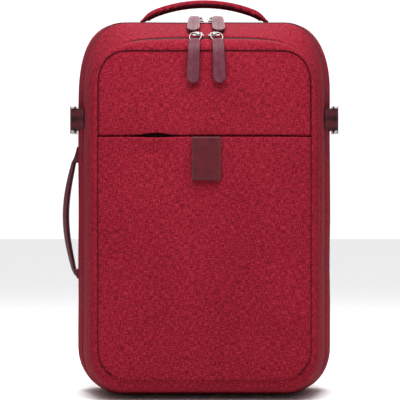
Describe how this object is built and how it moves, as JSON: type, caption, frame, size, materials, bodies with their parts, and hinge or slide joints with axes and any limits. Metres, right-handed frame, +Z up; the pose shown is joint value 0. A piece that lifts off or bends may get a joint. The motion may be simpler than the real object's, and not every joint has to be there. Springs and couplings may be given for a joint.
{
  "type": "travel backpack",
  "caption": "Soft-sided rectangular travel backpack with a fold-down zipped lid, front zip pocket, slip pocket with leather tab, top and side handles, compression straps and shoulder straps.",
  "frame": {"origin": "middle of the flat underside, below the main compartment's zip and widest part", "axes": "+Z up along the bag's height, -Y out of the front panel, +Y towards the wearer's back, -X towards the side with the leather grip"},
  "size_m": [0.3369, 0.2395, 0.4796],
  "materials": {
    "fabric": "red heather polyester, woven, matt",
    "lining": "plain grey polyester lining",
    "board": "polyethylene stiffener board",
    "mesh": "dark spacer mesh over foam",
    "zip_tape": "dark red coil zip tape",
    "leather": "burgundy grained leather, stitched",
    "metal": "polished nickel",
    "webbing": "burgundy ribbed webbing",
    "plastic": "burgundy moulded acetal"
  },
  "bodies": {
    "root": {"rear_gusset_left": "fabric", "rear_gusset_right": "fabric", "rear_gusset_top": "fabric", "bottom_panel": "fabric", "front_bottom_lip": "fabric", "main_zip_tape_rear": "zip_tape", "back_panel": "mesh", "frame_sheet": "board", "laptop_sleeve": "lining", "base_board": "board", "upper_back_pad_left": "mesh", "upper_back_pad_right": "mesh", "lumbar_pad": "mesh", "luggage_strap": "fabric", "shoulder_strap_left": "mesh", "shoulder_strap_right": "mesh", "ladder_lock_left": "plastic", "ladder_lock_right": "plastic", "lower_webbing_left": "webbing", "lower_webbing_right": "webbing", "rear_webbing_left": "webbing", "rear_webbing_right": "webbing", "side_handle_anchor_top": "leather", "side_handle_anchor_bottom": "leather"},
    "lid": {"lid_gusset_left": "fabric", "lid_gusset_right": "fabric", "lid_gusset_top": "fabric", "lid_gusset_lower_left": "fabric", "lid_gusset_lower_right": "fabric", "main_zip_tape_front": "zip_tape", "pocket_zip_tape_rear": "zip_tape", "front_panel_lower": "fabric", "pocket_back_wall": "lining", "lid_mesh_pocket": "mesh", "front_webbing_left": "webbing", "front_webbing_right": "webbing", "buckle_plug_left": "plastic", "buckle_plug_right": "plastic"},
    "pocket_flap": {"pocket_gusset_left": "fabric", "pocket_gusset_right": "fabric", "pocket_gusset_top": "fabric", "pocket_zip_tape_front": "zip_tape", "front_panel_upper": "fabric", "slip_pocket_front": "fabric", "snap_stud": "metal"},
    "tab": {"closing_tab": "leather", "snap_socket": "metal"},
    "top_handle": {"top_handle": "fabric"},
    "side_handle": {"side_handle": "leather"},
    "main_slider_left": {"main_slider_left": "metal"},
    "main_puller_left": {"main_puller_left": "leather"},
    "pocket_slider_left": {"pocket_slider_left": "metal"},
    "pocket_puller_left": {"pocket_puller_left": "leather"},
    "buckle_socket_left": {"buckle_socket_left": "plastic"},
    "main_slider_right": {"main_slider_right": "metal"},
    "main_puller_right": {"main_puller_right": "leather"},
    "pocket_slider_right": {"pocket_slider_right": "metal"},
    "pocket_puller_right": {"pocket_puller_right": "leather"},
    "buckle_socket_right": {"buckle_socket_right": "plastic"}
  },
  "joints": [
    {"name": "lid_fold", "type": "hinge", "parent": "root", "child": "lid", "pos_m": [0, -0.0925, 0.03], "axis": [1, 0, 0], "range_deg": [0, 90]},
    {"name": "pocket_flap_fold", "type": "hinge", "parent": "lid", "child": "pocket_flap", "pos_m": [0, -0.0991, 0.16], "axis": [-1, 0, 0], "range_deg": [-90, 0]},
    {"name": "closing_tab_lift", "type": "hinge", "parent": "pocket_flap", "child": "tab", "pos_m": [0.002, -0.1023, 0.308], "axis": [1, 0, 0], "range_deg": [-120, 0]},
    {"name": "top_handle_fold", "type": "hinge", "parent": "root", "child": "top_handle", "pos_m": [0, 0.025, 0.4557], "axis": [1, 0, 0], "range_deg": [-70, 70]},
    {"name": "side_handle_swing", "type": "hinge", "parent": "root", "child": "side_handle", "pos_m": [-0.1606, 0.035, 0.215], "axis": [0, 0, 1], "range_deg": [-30, 30]},
    {"name": "main_zip_slide_left", "type": "slide", "parent": "lid", "child": "main_slider_left", "axis": [-1, 0, 0], "range_m": [0, 0.055]},
    {"name": "main_puller_lift_left", "type": "hinge", "parent": "main_slider_left", "child": "main_puller_left", "pos_m": [-0.0108, -0.0178, 0.4551], "axis": [-1, 0, 0], "range_deg": [0, 100]},
    {"name": "pocket_zip_slide_left", "type": "slide", "parent": "pocket_flap", "child": "pocket_slider_left", "axis": [1, 0, 0], "range_m": [-0.055, 0]},
    {"name": "pocket_puller_lift_left", "type": "hinge", "parent": "pocket_slider_left", "child": "pocket_puller_left", "pos_m": [-0.0108, -0.0715, 0.431], "axis": [1, 0, 0], "range_deg": [-100, 0]},
    {"name": "buckle_release_left", "type": "slide", "parent": "root", "child": "buckle_socket_left", "axis": [0, 1, 0], "range_m": [0, 0.018]},
    {"name": "main_zip_slide_right", "type": "slide", "parent": "lid", "child": "main_slider_right", "axis": [1, 0, 0], "range_m": [0, 0.055]},
    {"name": "main_puller_lift_right", "type": "hinge", "parent": "main_slider_right", "child": "main_puller_right", "pos_m": [0.0148, -0.0178, 0.4551], "axis": [-1, 0, 0], "range_deg": [0, 100]},
    {"name": "pocket_zip_slide_right", "type": "slide", "parent": "pocket_flap", "child": "pocket_slider_right", "axis": [-1, 0, 0], "range_m": [-0.055, 0]},
    {"name": "pocket_puller_lift_right", "type": "hinge", "parent": "pocket_slider_right", "child": "pocket_puller_right", "pos_m": [0.0148, -0.0715, 0.431], "axis": [1, 0, 0], "range_deg": [-100, 0]},
    {"name": "buckle_release_right", "type": "slide", "parent": "root", "child": "buckle_socket_right", "axis": [0, 1, 0], "range_m": [0, 0.018]}
  ]
}
